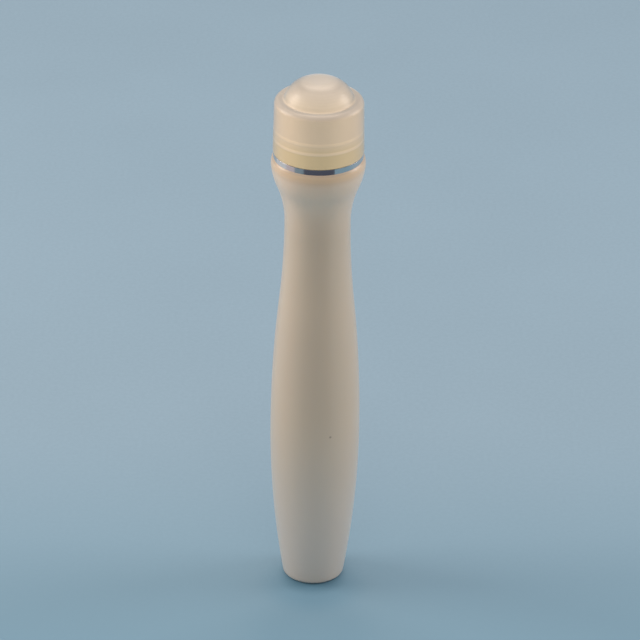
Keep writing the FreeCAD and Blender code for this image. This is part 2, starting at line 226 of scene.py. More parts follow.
class Outline:
    """A turned piece's outline, as points of radius and height.

    Straight runs meet in corners that can be rounded, and curved stretches are sampled from
    a formula. A piece's material lies on the left of the outline as it is drawn.
    """

    TURN_STEP = math.radians(7)
    BEAD_STEPS = 10

    def __init__(self) -> None:
        """Starts with no points."""
        self.corners: list[tuple[float, float, float]] = []

    def corner(self, radius: float, height: float, rounding: float = 0.0) -> "Outline":
        """Runs straight to a corner.

        Args:
            radius: The corner's radius from the axis.
            height: Its height.
            rounding: Radius of its rounding.

        Returns:
            The outline, so that calls can follow each other.
        """
        self.corners.append((radius, height, rounding))
        return self

    def side(self, radius_at: Callable[[float], float], start: float, end: float,
             steps: int) -> "Outline":
        """Follows a formula of the height.

        Args:
            radius_at: Gives the radius at a height.
            start: First height.
            end: Last height.
            steps: Number of stretches between them.

        Returns:
            The outline.
        """
        for index in range(steps + 1):
            height = start + (end - start) * index / steps
            self.corner(radius_at(height), height)
        return self

    def arc(self, middle: Point, radius: float, start: float, end: float,
            stretch: float = 1.0) -> "Outline":
        """Follows part of a circle, or of one that is stretched upright.

        Args:
            middle: The circle's middle, as radius and height.
            radius: The circle's radius.
            start: First angle in degrees, from straight outwards and towards the top.
            end: Last angle.
            stretch: Its height over its width.

        Returns:
            The outline.
        """
        steps = max(2, math.ceil(math.radians(abs(end - start)) / self.TURN_STEP))
        for index in range(steps + 1):
            angle = math.radians(start + (end - start) * index / steps)
            self.corner(max(0.0, middle[0] + radius * math.cos(angle)),
                        middle[1] + radius * stretch * math.sin(angle))
        return self

    def bead(self, wall: float, crest: float, middle: float, half: float) -> "Outline":
        """Adds a rounded bead that stands out of an upright wall.

        Args:
            wall: Radius of the wall.
            crest: Radius of the bead's crest.
            middle: Height of the crest.
            half: Half of the bead's height, negative where the outline runs downwards.

        Returns:
            The outline.
        """
        for index in range(self.BEAD_STEPS + 1):
            place = 2 * index / self.BEAD_STEPS - 1
            swell = (1 + math.cos(math.pi * place)) / 2
            self.corner(wall + (crest - wall) * swell, middle + half * place)
        return self

    def points(self, wrap: Wrap) -> list[Point]:
        """The outline's points, with its corners rounded.

        Args:
            wrap: How the outline closes.

        Returns:
            Points of radius and height.
        """
        found: list[Point] = []
        count = len(self.corners)
        for index, (radius, height, rounding) in enumerate(self.corners):
            here = Vector((radius, height))
            if rounding == 0.0:
                found.append((radius, height))
                continue
            back = Vector(self.corners[index - 1][:2]) - here
            ahead = Vector(self.corners[(index + 1) % count][:2]) - here
            found.extend(self._rounded(here, back, ahead, rounding))
        if wrap is Wrap.LOOP:
            found.append(found[0])
        return found

    def _rounded(self, here: Vector, back: Vector, ahead: Vector, rounding: float) -> list[Point]:
        """Points of the arc that rounds one corner.

        Args:
            here: The corner.
            back: Way to the corner before.
            ahead: Way to the corner after.
            rounding: Radius of the arc.

        Returns:
            Its points, from the side of the corner before.
        """
        inner = back.angle(ahead)
        trim = rounding / math.tan(inner / 2)
        start = here + back.normalized() * trim
        end = here + ahead.normalized() * trim
        middle = here + (back.normalized() + ahead.normalized()).normalized() * (
            rounding / math.sin(inner / 2))
        steps = max(2, math.ceil((math.pi - inner) / self.TURN_STEP))
        first, last = start - middle, end - middle
        turn = math.atan2(first.x * last.y - first.y * last.x, first.dot(last))
        rotations = (Matrix.Rotation(turn * index / steps, 2) for index in range(steps + 1))
        return [tuple(middle + rotation @ first) for rotation in rotations]


class PieceTree(Recipe):
    """A Geometry Nodes tree that makes or cuts one piece, from named inputs."""

    SHARP_ANGLE = math.radians(28)

    def __init__(self, name: str, inputs: dict[str, str]) -> None:
        """Starts the tree, with its inputs, a finish and one output.

        Args:
            name: The tree's name.
            inputs: Kind of each input's socket, by the input's name. The first is the mesh.
        """
        super().__init__(bpy.data.node_groups.new(name, "GeometryNodeTree"))
        face = self.tree.interface
        for label, kind in {**inputs, "Finish": "Material"}.items():
            face.new_socket(label, in_out="INPUT", socket_type="NodeSocket" + kind)
        face.new_socket("Piece", in_out="OUTPUT", socket_type="NodeSocketGeometry")
        self.source = self.tree.nodes.new("NodeGroupInput")

    def value_of(self, name: str) -> Wire:
        """One of the tree's inputs."""
        return Wire(self, self.source.outputs[name])

    def close(self, shape: Wire) -> None:
        """Ends the tree: smooths all but the sharp edges, and sets the finish.

        Args:
            shape: The piece's shape.
        """
        bend = self.node("GeometryNodeInputMeshEdgeAngle", {}, {}, "Unsigned Angle")
        gentle = self.node("FunctionNodeCompare", {"operation": "LESS_THAN"},
                           {"A": bend, "B": self.SHARP_ANGLE})
        smooth = self.node("GeometryNodeSetShadeSmooth", {"domain": "EDGE"},
                           {"Geometry": shape, "Shade Smooth": gentle})
        real = self.node("GeometryNodeRealizeInstances", {}, {"Geometry": smooth})
        dressed = self.node("GeometryNodeSetMaterial", {}, {
            "Geometry": real, "Material": self.value_of("Finish")})
        self.add("NodeGroupOutput", {}, {"Piece": dressed})

    def apply(self, piece: bpy.types.Object, inputs: dict[str, Any]) -> bpy.types.Object:
        """Runs the tree on a piece, and keeps the result as its plain mesh.

        Args:
            piece: The piece to change.
            inputs: Values of the tree's named inputs.

        Returns:
            The same piece.
        """
        modifier = piece.modifiers.new(self.tree.name, "NODES")
        modifier.node_group = self.tree
        sockets = {item.name: item.identifier for item in self.tree.interface.items_tree
                   if item.item_type == "SOCKET" and item.in_out == "INPUT"}
        for name, value in inputs.items():
            modifier[sockets[name]] = value
        graph = bpy.context.evaluated_depsgraph_get()
        mesh = bpy.data.meshes.new_from_object(piece.evaluated_get(graph))
        piece.modifiers.remove(modifier)
        mesh.name = piece.name
        piece.data = mesh
        return piece


class Lathe(PieceTree):
    """Turns an outline about the Z axis."""

    MERGE_DISTANCE = 0.001 * MM
    SEGMENTS = 256

    def __init__(self) -> None:
        """Builds the tree once, for every turned piece."""
        super().__init__("turned_piece", {"Outline": "Geometry", "Segments": "Int", "Points": "Int"})
        self._build()

    def _build(self) -> None:
        """Adds the nodes: a grid whose rows are the outline's points, rolled into a ring."""
        segments = self.value_of("Segments")
        points = self.value_of("Points")
        grid = self.node("GeometryNodeMeshGrid", {},
                         {"Vertices X": segments + 1, "Vertices Y": points}, "Mesh")
        index = self.node("GeometryNodeInputIndex", {}, {})
        column = ((index + 0.5) / points).floor()
        row = index - column * points
        angle = column * math.tau / segments
        place = self.node("GeometryNodeInputPosition", {}, {})
        sampled = self.node("GeometryNodeSampleIndex", {"data_type": "FLOAT_VECTOR"},
                            {"Geometry": self.value_of("Outline"), "Value": place, "Index": row})
        radius, height = (self.node("ShaderNodeSeparateXYZ", {}, {0: sampled}, axis) for axis in "XZ")
        turned = self.node("ShaderNodeCombineXYZ", {}, {
            "X": radius * angle.cosine(), "Y": radius * angle.sine(), "Z": height})
        rolled = self.node("GeometryNodeSetPosition", {}, {"Geometry": grid, "Position": turned})
        self.close(self.node("GeometryNodeMergeByDistance", {},
                             {"Geometry": rolled, "Distance": self.MERGE_DISTANCE}))

    def turn(self, name: str, points: Sequence[Point], finish: bpy.types.Material) -> bpy.types.Object:
        """Turns an outline into a piece.

        Args:
            name: The piece's name.
            points: Its outline, as radius and height.
            finish: Its material.

        Returns:
            The piece, as a plain mesh at the origin.
        """
        line = bpy.data.meshes.new(name)
        line.from_pydata([(radius, 0.0, height) for radius, height in points],
                         [(index, index + 1) for index in range(len(points) - 1)], [])
        piece = bpy.data.objects.new(name, line)
        bpy.context.scene.collection.objects.link(piece)
        return self.apply(piece, {
            "Segments": self.SEGMENTS, "Points": len(points), "Finish": finish})


class GrooveCutter(PieceTree):
    """Cuts feed grooves into the socket under the ball."""

    EXACT_CUT = {"operation": "DIFFERENCE", "solver": "EXACT"}
    DISC_SIDES = 96
    BLOCK_SCALE = 3

    def __init__(self) -> None:
        """Builds the tree."""
        super().__init__("feed_grooves", {"Socket": "Geometry", "Grooves": "Int", "Width": "Float",
                                          "Radius": "Float", "Middle": "Float", "Drop": "Float"})
        self._build()

    def _build(self) -> None:
        """Adds the nodes: half discs stood on edge about the axis, taken out of the socket."""
        width, radius, middle, drop, grooves = (
            self.value_of(name) for name in ("Width", "Radius", "Middle", "Drop", "Grooves"))
        disc = self.node("GeometryNodeMeshCylinder", {}, {
            "Vertices": self.DISC_SIDES, "Radius": radius, "Depth": width}, "Mesh")
        upright = self.node("GeometryNodeTransform", {}, {
            "Geometry": disc, "Translation": self._along_z(middle),
            "Rotation": (math.pi / 2, 0.0, 0.0)})
        size = radius * self.BLOCK_SCALE
        block = self.node("GeometryNodeMeshCube", {}, {
            "Size": self.node("ShaderNodeCombineXYZ", {}, {
                "X": size, "Y": width * self.BLOCK_SCALE, "Z": size})}, "Mesh")
        raised = self.node("GeometryNodeTransform", {}, {
            "Geometry": block, "Translation": self._along_z(middle - drop + size / 2)})
        blade = self.node("GeometryNodeMeshBoolean", self.EXACT_CUT, {0: upright, 1: raised})
        stations = self.node("GeometryNodeMeshLine", {}, {
            "Count": grooves / 2, "Offset": (0.0, 0.0, 0.0)})
        turn = self.node("GeometryNodeInputIndex", {}, {}) * math.tau / grooves
        spun = self.node("GeometryNodeInstanceOnPoints", {}, {
            "Points": stations, "Instance": blade, "Rotation": self._along_z(turn)})
        blades = self.node("GeometryNodeRealizeInstances", {}, {"Geometry": spun})
        self.close(self.node("GeometryNodeMeshBoolean", self.EXACT_CUT, {
            0: self.value_of("Socket"), 1: blades, "Self Intersection": True}))

    def _along_z(self, value: Wire) -> Wire:
        """A vector along the Z axis."""
        return self.node("ShaderNodeCombineXYZ", {}, {"Z": value})


# Finishes


def srgb(red: int, green: int, blue: int) -> Colour:
    """A colour as written on screen, as the shader's linear colour.

    Args:
        red: Its red, from 0 to 255.
        green: Its green.
        blue: Its blue.

    Returns:
        The same colour in linear light.
    """
    shares = (channel / 255 for channel in (red, green, blue))
    return tuple(share / 12.92 if share <= 0.04045 else ((share + 0.055) / 1.055) ** 2.4
                 for share in shares)


def shade(colour: Colour, factor: float = 1.0) -> tuple[float, float, float, float]:
    """A colour made darker or lighter, as a shader's colour with alpha."""
    return tuple(min(1.0, channel * factor) for channel in colour) + (1.0,)


class SurfaceRecipe(Recipe):
    """Adds shader nodes that colour and texture a surface by its place on the object."""

    CLOUD_EDGES = (0.3, 0.7)

    def place(self) -> Wire:
        """The point on the object, in its own coordinates."""
        return self.node("ShaderNodeTexCoord", {}, {}, "Object")

    def along(self, axis: str) -> Wire:
        """The point's place along the X, Y or Z axis."""
        return self.node("ShaderNodeSeparateXYZ", {}, {0: self.place()}, axis)

    def height(self) -> Wire:
        """The point's height over the surface that the bottle stands on."""
        return self.along("Z")

    def from_axis(self) -> Wire:
        """The point's distance from the bottle's axis.

        Returns:
            The distance.
        """
        flat = self.node("ShaderNodeVectorMath", {"operation": "MULTIPLY"},
                         {0: self.place(), 1: (1.0, 1.0, 0.0)})
        return self.node("ShaderNodeVectorMath", {"operation": "LENGTH"}, {0: flat}, "Value")

    def noise(self, size: float, detail: float = 2.0, stretch: Sequence[float] = (1, 1, 1)) -> Wire:
        """Smooth noise.

        Args:
            size: Size of its blotches.
            detail: Number of finer layers.
            stretch: How often the blotches repeat along each axis, against the size.

        Returns:
            The noise, around 0.5.
        """
        scaled = self.node("ShaderNodeVectorMath", {"operation": "MULTIPLY"},
                           {0: self.place(), 1: tuple(share / size for share in stretch)})
        return self.node("ShaderNodeTexNoise", {}, {
            "Vector": scaled, "Scale": 1.0, "Detail": detail, "Roughness": 0.55}, "Fac")

    def clouds(self, size: float, detail: float = 2.0, stretch: Sequence[float] = (1, 1, 1)) -> Wire:
        """Noise with more contrast, as a mask from 0 to 1."""
        return self.noise(size, detail, stretch).above(*self.CLOUD_EDGES)

    def blend(self, factor: Wire, low: Value, high: Value) -> Wire:
        """A colour between two, by a factor from 0 to 1."""
        return self.node("ShaderNodeMix", {"data_type": "RGBA"}, {0: factor, 6: low, 7: high}, 2)

    def spot(self, middle: Sequence[float], radius: float) -> Wire:
        """A soft round mask about a point.

        Args:
            middle: The point.
            radius: Where the mask has faded to 0.

        Returns:
            The mask, from 0 to 1.
        """
        away = self.node("ShaderNodeVectorMath", {"operation": "DISTANCE"},
                         {0: self.place(), 1: tuple(middle)}, "Value")
        return self.ramp(away, radius, radius / 3)

    def bump(self, height: Wire, depth: float, strength: float = 1.0) -> Wire:
        """A surface relief.

        Args:
            height: The relief, from 0 to 1.
            depth: Its depth.
            strength: Share of the depth that shows.

        Returns:
            The normal to feed to the shader.
        """
        return self.node("ShaderNodeBump", {}, {
            "Height": height, "Distance": depth, "Strength": strength})


@dataclass(frozen=True)
class Finish:
    """A material with one shader, whose sockets a subclass fills."""

    name: str
    colour: Colour
    roughness: float

    def surface(self, recipe: SurfaceRecipe) -> dict[str, Value]:
        """The shader's sockets.

        Args:
            recipe: Builder of the material's tree.

        Returns:
            Values and wires by the socket's name.
        """
        raise NotImplementedError

    def uneven(self, recipe: SurfaceRecipe, size: float, spread: float) -> Wire:
        """The roughness, varied over the surface.

        Args:
            recipe: Builder of the material's tree.
            size: Size of the blotches.
            spread: How far the roughness varies.

        Returns:
            The roughness.
        """
        return self.roughness + (recipe.noise(size) - 0.5) * spread

    def shader(self, recipe: SurfaceRecipe) -> Wire:
        """The material's shader, with its sockets filled."""
        return recipe.node("ShaderNodeBsdfPrincipled", {}, self.surface(recipe))

    def material(self) -> bpy.types.Material:
        """Builds the material.

        Returns:
            The material.
        """
        made = bpy.data.materials.new(self.name)
        made.use_nodes = True
        made.node_tree.nodes.clear()
        recipe = SurfaceRecipe(made.node_tree)
        recipe.add("ShaderNodeOutputMaterial", {}, {"Surface": self.shader(recipe)})
        made.diffuse_color = shade(self.colour)
        return made


@dataclass(frozen=True)
class SatinPlastic(Finish):
    """Satin moulded plastic, with painted light on the shoulder, soft clouds and one small speck.

    Each colour comes in between the two heights after it, over the ones named before it.

    Attributes:
        floor_bounce_and_cloud_colour: Greyer tone towards the base, painted bluish light from the
            floor. A darker copy of it colours the clouds.
        shoulder_light_and_neck_colour: Paler tone of the shoulder, painted light on its
            downward-facing flare, and again the neck's plain colour.
        rim_colour: Warmer tone of the shoulder's rounding.
        seat_shade_colour: Painted shade under the ring.
        cloud_share: How strongly the clouds show.
        speck: Middle of the speck.
        speck_share: How strongly it shows.
    """

    # painted bluish floor light, greyer towards the base; a darker copy also colours the clouds
    floor_bounce_and_cloud_colour: Colour = (0.56, 0.52, 0.47)
    foot: Span = (46 * MM, 6 * MM)
    # painted light on the shoulder's downward-facing flare; the same colour is the neck's plain colour
    shoulder_light_and_neck_colour: Colour = (0.78, 0.635, 0.49)
    shoulder: Span = (84 * MM, 95 * MM)
    rim_colour: Colour = (0.68, 0.515, 0.345)
    rim: Span = (98.0 * MM, 100.3 * MM)
    # painted shade under the ring
    seat_shade_colour: Colour = (0.5, 0.4, 0.3)
    seat: Span = (100.5 * MM, 101.1 * MM)
    neck: Span = (SHOULDER, 101.5 * MM)
    cloud_share: float = 0.1
    speck: Place = (3.35 * MM, -8.98 * MM, 38.5 * MM)
    speck_radius: float = 0.38 * MM
    speck_share: float = 0.5
    speck_colour: Colour = srgb(92, 80, 66)

    def tone(self, recipe: SurfaceRecipe) -> Wire:
        """Cream colour that changes a little with the height: painted floor light towards the base,
        painted light on the shoulder, a warmer rounding and painted shade under the ring.

        Args:
            recipe: Builder of the material's tree.

        Returns:
            The colour.
        """
        height = recipe.height()
        tone = shade(self.colour)
        # the foot, shoulder and seat tones are painted light and shade; the rim is a warmer tone
        for colour, heights in ((self.floor_bounce_and_cloud_colour, self.foot), (self.shoulder_light_and_neck_colour, self.shoulder),
                                (self.rim_colour, self.rim), (self.seat_shade_colour, self.seat),
                                (self.shoulder_light_and_neck_colour, self.neck)):
            tone = recipe.blend(height.above(*heights), tone, shade(colour))
        clouds = recipe.clouds(14 * MM, 3.0, (1, 1, 0.5)) * self.cloud_share
        return recipe.blend(clouds, tone, shade(self.floor_bounce_and_cloud_colour, 0.7))

    def surface(self, recipe: SurfaceRecipe) -> dict[str, Value]:
        """The tone with its speck, on a finely grained satin skin.

        Args:
            recipe: Builder of the material's tree.

        Returns:
            Values and wires by the socket's name.
        """
        speck = recipe.spot(self.speck, self.speck_radius) * self.speck_share
        return {
            "Base Color": recipe.blend(speck, self.tone(recipe), shade(self.speck_colour)),
            "Roughness": self.uneven(recipe, 5 * MM, 0.1),
            "IOR": 1.5,
            "Coat Weight": 1.0,
            "Coat Roughness": 0.3,
            "Subsurface Weight": 0.12,
            "Subsurface Radius": (1.0, 0.7, 0.45),
            "Subsurface Scale": 1.5 * MM,
            "Normal": recipe.bump(recipe.noise(0.5 * MM, 3.0), 0.01 * MM, 0.6),
        }


@dataclass(frozen=True)
class Plating(Finish):
    """Bright plating, with the slight waviness of a thin pressed ring."""

    def surface(self, recipe: SurfaceRecipe) -> dict[str, Value]:
        """Mirror metal with hair-fine marks along the turn.

        Args:
            recipe: Builder of the material's tree.

        Returns:
            Values and wires by the socket's name.
        """
        marks = recipe.noise(0.6 * MM, 2.0, (0.05, 0.05, 3))
        waves = recipe.noise(6 * MM, 1.0)
        return {
            "Base Color": recipe.blend(marks.above(*recipe.CLOUD_EDGES), shade(self.colour, 0.93),
                                       shade(self.colour)),
            "Metallic": 1.0,
            "Roughness": self.roughness + marks * 0.06,
            "Normal": recipe.bump(waves + marks * 0.03, 0.05 * MM, 0.5),
        }


@dataclass(frozen=True)
class NaturalPlastic(Finish):
    """Unpigmented moulded plastic, waxy and slightly cloudy."""

    def surface(self, recipe: SurfaceRecipe) -> dict[str, Value]:
        """Off-white with soft clouds and a fine grain.

        Args:
            recipe: Builder of the material's tree.

        Returns:
            Values and wires by the socket's name.
        """
        clouds = recipe.clouds(4 * MM)
        return {
            "Base Color": recipe.blend(clouds, shade(self.colour, 0.95), shade(self.colour)),
            "Roughness": self.uneven(recipe, 1.5 * MM, 0.08),
            "IOR": 1.5,
            "Subsurface Weight": 0.3,
            "Subsurface Radius": (1.0, 0.9, 0.75),
            "Subsurface Scale": 1.0 * MM,
            "Normal": recipe.bump(recipe.noise(0.4 * MM), 0.01 * MM, 0.5),
        }


@dataclass(frozen=True)
class PolishedPlastic(Finish):
    """A tumbled and polished plastic ball."""

    def surface(self, recipe: SurfaceRecipe) -> dict[str, Value]:
        """Near-white with a faint swirl and fine handling marks.

        Args:
            recipe: Builder of the material's tree.

        Returns:
            Values and wires by the socket's name.
        """
        swirl = recipe.noise(3 * MM, 2.0, (1, 0.4, 1)).above(0.35, 0.65)
        return {
            "Base Color": recipe.blend(swirl, shade(self.colour, 0.96), shade(self.colour)),
            "Roughness": self.roughness + recipe.noise(0.8 * MM, 3.0) * 0.06,
            "IOR": 1.53,
            "Coat Weight": 0.3,
            "Coat Roughness": 0.05,
            "Normal": recipe.bump(recipe.noise(2 * MM), 0.004 * MM, 0.5),
        }


@dataclass(frozen=True)
class MilkyPlastic(Finish):
    """Natural plastic with a frosted skin: milky face on, clearer along its edges.

    Attributes:
        thin: Heights between which the colour turns to that of the thin wall.
        dome: Heights between which the side's colour gives way to the dome's.
        dome_foot: Heights between which the dome turns to the warmer colour of its foot, a painted
            glow.
        painted_dome_shades: Painted shade on the dome's sides and back: an axis, the places
        along it between which the shade comes in, and its strength.
        arc: Radius, half width and fade of a faint darker line round the dome.
        ledge: Distances from the axis between which the ledge's colour comes in.
        bands: Height, half width and fade of each ring on the side where a painted bright line of
            light shows.
        band_depth: How far the rings stand out.
        coat: Weight of the gloss on top of the dome, and how much less it is from the dome's
            foot downwards.
        side_clearness: How strongly the side grows clearer where it turns away from the eye.
        dome_clearness: The same for the dome.
        clear_start: How far a surface has to turn away before it grows clearer.
    """

    thin: Span = (108.4 * MM, 105.2 * MM)
    thin_colour: Colour = (0.83, 0.66, 0.39)
    dome: Span = (113.1 * MM, 114.2 * MM)
    dome_colour: Colour = (0.62, 0.57, 0.49)
    dome_foot: Span = (118.0 * MM, 115.0 * MM)
    # painted warm glow at the dome's foot
    dome_foot_glow_colour: Colour = (0.84, 0.74, 0.585)
    # painted shade on the dome's sides and back
    painted_dome_shades: tuple[tuple[str, float, float, float], ...] = (
        ("X", 1.0 * MM, -6.0 * MM, 0.17), ("X", 1.0 * MM, 6.0 * MM, 0.09),
        ("X", 4.2 * MM, 7.0 * MM, 0.18), ("Y", -1.5 * MM, 2.0 * MM, 0.13))
    arc: tuple[float, float, float] = (4.4 * MM, 0.2 * MM, 0.6 * MM)
    arc_share: float = 0.09
    ledge: Span = (7.3 * MM, 7.8 * MM)
    ledge_colour: Colour = (0.53, 0.485, 0.42)
    bands: tuple[tuple[float, float, float], ...] = (
        (107.95 * MM, 0.15 * MM, 0.35 * MM), (105.95 * MM, 0.15 * MM, 0.35 * MM))
    # painted bright lines where light pipes through the inner steps of the wall
    glow_band_colour: Colour = (1.0, 0.8, 0.56)
    band_share: float = 0.9
    band_depth: float = 0.03 * MM
    coat: tuple[float, float] = (0.6, 0.4)
    sheen_colour: Colour = (0.7, 0.86, 1.0)
    side_clearness: float = 0.5
    dome_clearness: float = 0.42
    clear_colour: Colour = (1.0, 0.97, 0.94)
    clear_start: float = 0.15

    def glow_rings(self, recipe: SurfaceRecipe) -> Wire:
        """A mask of the rings on the cap's side, where bright lines of light are painted.

        Args:
            recipe: Builder of the material's tree.

        Returns:
            The mask, from 0 to 1.
        """
        height = recipe.height()
        upper, lower = (height.band(*band) for band in self.bands)
        return upper + lower

    def dome_tone(self, recipe: SurfaceRecipe) -> Wire:
        """Colour of the dome and of the ledge round it, with a painted glow at the dome's foot and
        painted shade on its sides and back.

        Args:
            recipe: Builder of the material's tree.

        Returns:
            The colour.
        """
        # painted glow at the dome's foot
        tone = recipe.blend(recipe.height().above(*self.dome_foot), shade(self.dome_colour),
                            shade(self.dome_foot_glow_colour))
        # painted shade on the dome's sides and back, and a faint darker line round the dome
        dark = [recipe.along(axis).above(start, end) * share
                for axis, start, end, share in self.painted_dome_shades]
        from_axis = recipe.from_axis()
        dark.append(from_axis.band(*self.arc) * self.arc_share)
        for mask in dark:
            tone = recipe.blend(mask, tone, shade(self.colour, 0.0))
        return recipe.blend(from_axis.above(*self.ledge), tone, shade(self.ledge_colour))

    def tone(self, recipe: SurfaceRecipe, glow_rings: Wire) -> Wire:
        """Milky colour: warmer where the wall is thin, greyer over the dome, with painted bright lines
        of light on the rings.

        Args:
            recipe: Builder of the material's tree.
            glow_rings: Mask of the rings that carry the painted bright lines.

        Returns:
            The colour.
        """
        height = recipe.height()
        clouds = recipe.clouds(5 * MM, 2.0, (1, 1, 0.3))
        tone = recipe.blend(clouds, shade(self.colour, 0.97), shade(self.colour))
        tone = recipe.blend(height.above(*self.thin), tone, shade(self.thin_colour))
        tone = recipe.blend(height.above(*self.dome), tone, self.dome_tone(recipe))
        # painted bright lines of light on the rings
        return recipe.blend(glow_rings * self.band_share, tone, shade(self.glow_band_colour))

    def surface(self, recipe: SurfaceRecipe) -> dict[str, Value]:
        """Milky colour on a satin skin, with the rings standing slightly out of it.

        Args:
            recipe: Builder of the material's tree.

        Returns:
            Values and wires by the socket's name.
        """
        glow_rings = self.glow_rings(recipe)
        relief = glow_rings + recipe.noise(1.2 * MM) * 0.06
        return {
            "Base Color": self.tone(recipe, glow_rings),
            "Roughness": self.uneven(recipe, 2 * MM, 0.06),
            "IOR": 1.5,
            "Coat Weight": self.coat[0] - recipe.height().above(*self.dome_foot) * self.coat[1],
            "Coat Roughness": 0.25,
            "Sheen Weight": 1.0,
            "Sheen Roughness": 0.4,
            "Sheen Tint": shade(self.sheen_colour),
            "Normal": recipe.bump(relief, self.band_depth),
        }

    def shader(self, recipe: SurfaceRecipe) -> Wire:
        """Milky plastic, with a share of clear frosted plastic along its edges.

        Args:
            recipe: Builder of the material's tree.

        Returns:
            The mixed shader.
        """
        clear = recipe.node("ShaderNodeBsdfPrincipled", {}, {
            "Base Color": shade(self.clear_colour), "Roughness": self.roughness,
            "IOR": 1.3, "Transmission Weight": 1.0})
        turned_away = recipe.node("ShaderNodeLayerWeight", {}, {"Blend": 0.5}, "Facing")
        dome = recipe.height().above(*self.dome)
        most = self.side_clearness + dome * (self.dome_clearness - self.side_clearness)
        return recipe.node("ShaderNodeMixShader", {}, {
            0: (turned_away - self.clear_start) * most, 1: super().shader(recipe), 2: clear})


# Pieces


def crown(run: float, rise: float) -> float:
    """Radius of an arc that starts level and has moved by `rise` after a `run`."""
    return (run * run + rise * rise) / (2 * rise)


def sag(radius: float, run: float) -> float:
    """How far an arc has moved away from level after a run."""
    return radius - math.sqrt(radius * radius - run * run)


def seat(piece: bpy.types.Object, node: str, body: str, slot: str) -> bpy.types.Object:
    """Puts a piece in the place of a CAD node.

    Args:
        piece: The finished piece.
        node: The CAD node that it stands for.
        body: The body that it moves with.
        slot: The record's material slot for the piece; not used.

    Returns:
        The piece.
    """
    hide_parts(node)
    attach(piece, body)
    log.info("%s: %d faces, in place of %s", piece.name, len(piece.data.polygons), node)
    return piece


